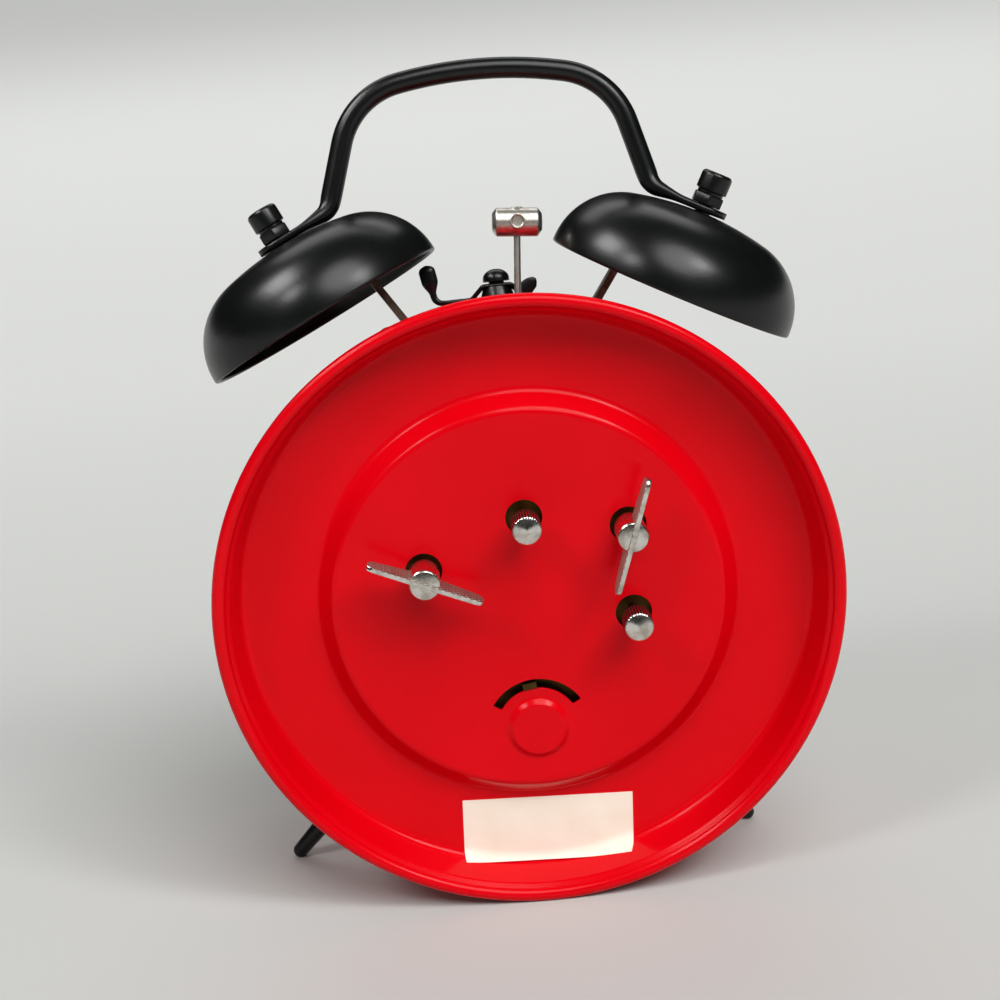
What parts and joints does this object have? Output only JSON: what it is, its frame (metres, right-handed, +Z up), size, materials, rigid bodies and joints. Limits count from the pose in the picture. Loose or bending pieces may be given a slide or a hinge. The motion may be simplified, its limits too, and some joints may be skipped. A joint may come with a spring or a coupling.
{
  "type": "twin bell alarm clock",
  "caption": "Wind-up alarm clock in a tapered drum case on legs, with bells, hammer and carrying handle on top and winding keys, setting knobs and movement behind the dial.",
  "frame": {"origin": "middle of the bounding box on the table", "axes": "+Z up, +X to the right as seen from the dial, the dial faces -Y"},
  "size_m": [0.118, 0.0546, 0.1575],
  "materials": {
    "red_enamel": "gloss enamel with a fine orange-peel surface",
    "black_lacquer": "satin lacquer",
    "paper": "uncoated paper",
    "glass": "clear",
    "white_enamel": "matt white enamel",
    "bare_steel": "bare rolled steel",
    "nickel_plate": "bright nickel plate",
    "spring_steel": "blued spring steel",
    "black_hands": "matt black enamel",
    "brass": "rolled brass"
  },
  "bodies": {
    "clock": {"case_shell": "red_enamel", "back_cover": "red_enamel", "paper_label": "paper", "front_bezel": "red_enamel", "glass_lens": "glass", "dial_ring": "white_enamel", "dial_plate": "white_enamel", "dial_feet": "bare_steel", "bell_left": "black_lacquer", "bell_right": "black_lacquer", "bell_bracket_left": "bare_steel", "bell_bracket_right": "bare_steel", "bracket_rivets": "bare_steel", "bell_hex_nuts": "black_lacquer", "bell_cap_nuts": "black_lacquer", "carrying_handle": "black_lacquer", "leg_left": "black_lacquer", "leg_right": "black_lacquer", "leg_nuts": "bare_steel", "stop_lever_screw": "black_lacquer", "back_plate": "brass", "front_plate": "brass", "plate_pillars": "brass", "pillar_nuts": "bare_steel", "spring_posts": "bare_steel", "time_mainspring": "spring_steel", "hairspring": "spring_steel", "balance_screws": "bare_steel", "alarm_mainspring": "spring_steel"},
    "time_winding": {"time_winding_key": "nickel_plate", "time_winding_arbor": "brass"},
    "time_main_wheel": {"time_main_wheel": "brass", "time_click": "bare_steel"},
    "centre_wheel": {"centre_wheel": "brass"},
    "third_wheel": {"third_wheel": "brass"},
    "fourth_wheel": {"fourth_wheel": "brass"},
    "escape_wheel": {"escape_wheel": "brass"},
    "pallet_lever": {"pallet_lever": "bare_steel"},
    "balance_wheel": {"balance_wheel": "brass"},
    "regulator_lever": {"regulator_lever": "brass"},
    "time_setting": {"time_setting_knob": "nickel_plate", "time_setting_arbor": "brass", "minute_wheel": "brass"},
    "minutes": {"cannon_pinion": "brass", "minute_hand": "black_hands"},
    "hours": {"hour_wheel": "brass", "hour_hand": "black_hands"},
    "alarm_wheel": {"alarm_wheel": "brass"},
    "alarm_setting": {"alarm_setting_knob": "nickel_plate", "alarm_setting_arbor": "brass", "alarm_hand": "black_hands"},
    "alarm_winding": {"alarm_winding_key": "nickel_plate", "alarm_winding_arbor": "brass"},
    "alarm_main_wheel": {"alarm_main_wheel": "brass", "alarm_click": "bare_steel"},
    "alarm_escape_wheel": {"alarm_escape_wheel": "brass"},
    "hammer": {"hammer_head": "nickel_plate", "hammer_rod": "nickel_plate", "hammer_arbor": "brass"},
    "stop_lever": {"stop_lever": "black_lacquer"}
  },
  "joints": [
    {"name": "time_winding_turn", "type": "hinge", "parent": "clock", "child": "time_winding", "pos_m": [0.0193, 0.00647, 0.0665], "axis": [0, -1, 0], "continuous": true, "deforming": ["time_mainspring"]},
    {"name": "alarm_winding_turn", "type": "hinge", "parent": "clock", "child": "alarm_winding", "pos_m": [-0.0193, 0.00647, 0.0722], "axis": [0, -1, 0], "continuous": true, "deforming": ["alarm_mainspring"]},
    {"name": "fourth_wheel_turn", "type": "hinge", "parent": "clock", "child": "fourth_wheel", "pos_m": [-0.00301, 0.00647, 0.0461], "axis": [0, -1, 0], "continuous": true},
    {"name": "escape_wheel_turn", "type": "hinge", "parent": "clock", "child": "escape_wheel", "pos_m": [-0.01261, 0.00647, 0.04303], "axis": [0, -1, 0], "continuous": true},
    {"name": "third_wheel_turn", "type": "hinge", "parent": "clock", "child": "third_wheel", "pos_m": [0.00775, 0.00647, 0.04773], "axis": [0, -1, 0], "continuous": true},
    {"name": "centre_wheel_turn", "type": "hinge", "parent": "clock", "child": "centre_wheel", "pos_m": [0, 0.00647, 0.059], "axis": [0, -1, 0], "continuous": true},
    {"name": "time_main_wheel_turn", "type": "hinge", "parent": "clock", "child": "time_main_wheel", "pos_m": [0.0193, 0.00647, 0.0665], "axis": [0, -1, 0], "continuous": true},
    {"name": "time_setting_turn", "type": "hinge", "parent": "clock", "child": "time_setting", "pos_m": [-0.0194, 0.00647, 0.055], "axis": [0, -1, 0], "continuous": true},
    {"name": "minute_hand_turn", "type": "hinge", "parent": "clock", "child": "minutes", "pos_m": [0, 0.00647, 0.059], "axis": [0, -1, 0], "continuous": true},
    {"name": "hour_hand_turn", "type": "hinge", "parent": "clock", "child": "hours", "pos_m": [0, 0.00647, 0.059], "axis": [0, -1, 0], "continuous": true},
    {"name": "alarm_wheel_turn", "type": "hinge", "parent": "clock", "child": "alarm_wheel", "pos_m": [0, 0.00647, 0.0752], "axis": [0, -1, 0], "continuous": true},
    {"name": "alarm_setting_turn", "type": "hinge", "parent": "clock", "child": "alarm_setting", "pos_m": [0, 0.00647, 0.0752], "axis": [0, -1, 0], "continuous": true},
    {"name": "alarm_main_wheel_turn", "type": "hinge", "parent": "clock", "child": "alarm_main_wheel", "pos_m": [-0.0193, 0.00647, 0.0722], "axis": [0, -1, 0], "continuous": true},
    {"name": "alarm_escape_wheel_turn", "type": "hinge", "parent": "clock", "child": "alarm_escape_wheel", "pos_m": [-0.01155, 0.00647, 0.08562], "axis": [0, -1, 0], "continuous": true},
    {"name": "hammer_swing", "type": "hinge", "parent": "clock", "child": "hammer", "pos_m": [-0.0008, 0.00647, 0.086], "axis": [0, -1, 0], "range_deg": [-16, 3.6]},
    {"name": "stop_lever_turn", "type": "hinge", "parent": "clock", "child": "stop_lever", "pos_m": [0.00081, -0.00553, 0.11043], "axis": [0.0154, -0.2079, 0.978], "range_deg": [-18, 0]},
    {"name": "regulator_turn", "type": "hinge", "parent": "clock", "child": "regulator_lever", "pos_m": [0, 0.00647, 0.0336], "axis": [0, -1, 0], "range_deg": [-37, 53]},
    {"name": "pallet_lever_rock", "type": "hinge", "parent": "clock", "child": "pallet_lever", "pos_m": [-0.01079, 0.00647, 0.03774], "axis": [0, -1, 0], "range_deg": [-3, 3]},
    {"name": "balance_swing", "type": "hinge", "parent": "clock", "child": "balance_wheel", "pos_m": [0, 0.00647, 0.0336], "axis": [0, -1, 0], "range_deg": [-200, 200], "stiffness_Nm_per_rad": 0.0000074, "deforming": ["hairspring"]}
  ],
  "couplings": [
    {"joint": "escape_wheel_turn", "follows": "fourth_wheel_turn", "ratio": -8},
    {"joint": "third_wheel_turn", "follows": "fourth_wheel_turn", "ratio": -0.13333},
    {"joint": "centre_wheel_turn", "follows": "fourth_wheel_turn", "ratio": 0.016667},
    {"joint": "time_main_wheel_turn", "follows": "fourth_wheel_turn", "ratio": -0.0033333},
    {"joint": "minute_hand_turn", "follows": "time_setting_turn", "ratio": -7},
    {"joint": "hour_hand_turn", "follows": "time_setting_turn", "ratio": -0.58333},
    {"joint": "alarm_wheel_turn", "follows": "time_setting_turn", "ratio": 0.58333},
    {"joint": "alarm_escape_wheel_turn", "follows": "alarm_main_wheel_turn", "ratio": -6.75}
  ]
}
